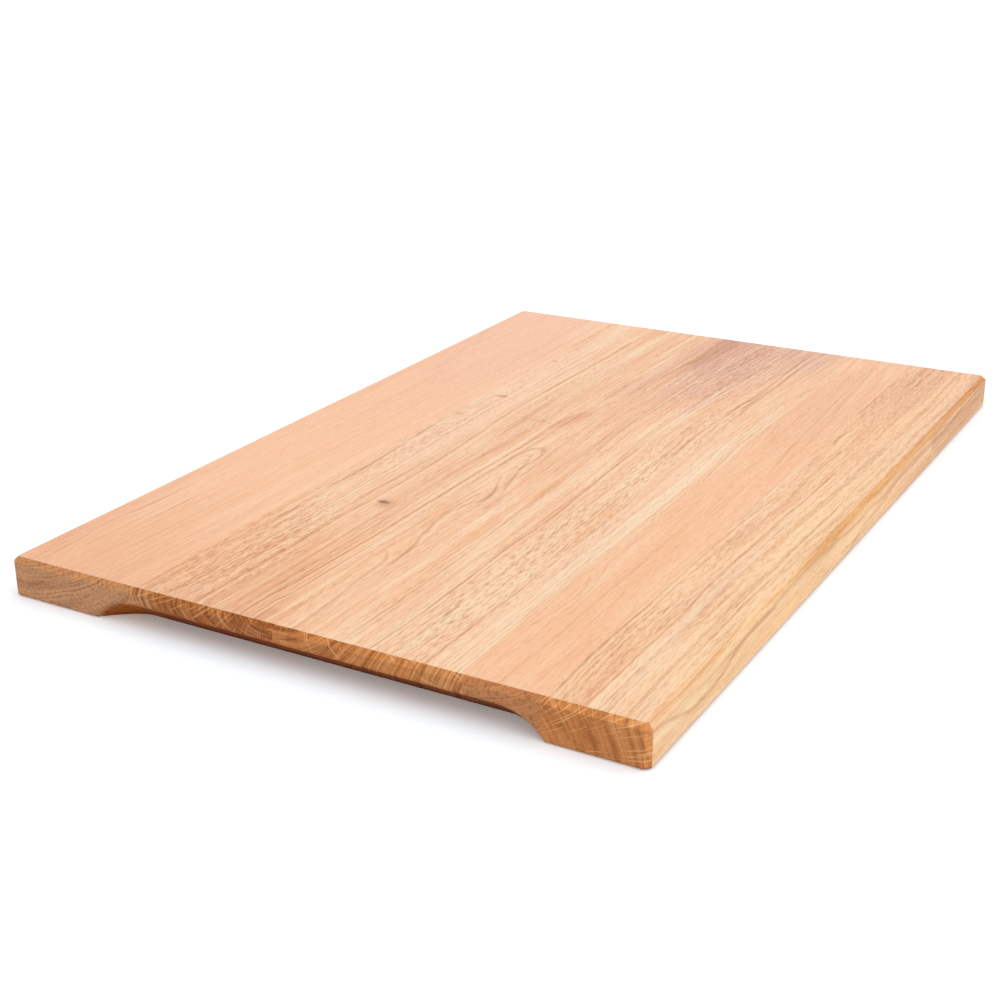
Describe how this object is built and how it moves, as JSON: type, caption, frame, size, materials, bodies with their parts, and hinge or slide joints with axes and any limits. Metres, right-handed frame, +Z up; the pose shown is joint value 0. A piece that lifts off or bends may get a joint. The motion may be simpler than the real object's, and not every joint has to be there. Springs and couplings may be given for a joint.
{
  "type": "cutting board",
  "caption": "Edge-glued solid oak cutting board with bevelled edges and a sloping finger recess under each end; it lies on its flat underside.",
  "frame": {"origin": "middle of the flat underside, on the surface that the board lies on", "axes": "+X along the grain and the length, away from the end that faces the viewer in the picture; +Y across the staves, towards the plain edge stave; +Z up"},
  "size_m": [0.6, 0.4, 0.024],
  "materials": {
    "oak": "oiled oak, sanded fine, satin",
    "glue": "cured clear-drying wood glue, sanded flush"
  },
  "bodies": {
    "root": {"stave_left_edge": "oak", "glue_line_1": "glue", "stave_left_inner": "oak", "glue_line_2": "glue", "stave_centre": "oak", "glue_line_3": "glue", "stave_right_inner": "oak", "glue_line_4": "glue", "stave_right_edge": "oak"}
  },
  "joints": []
}
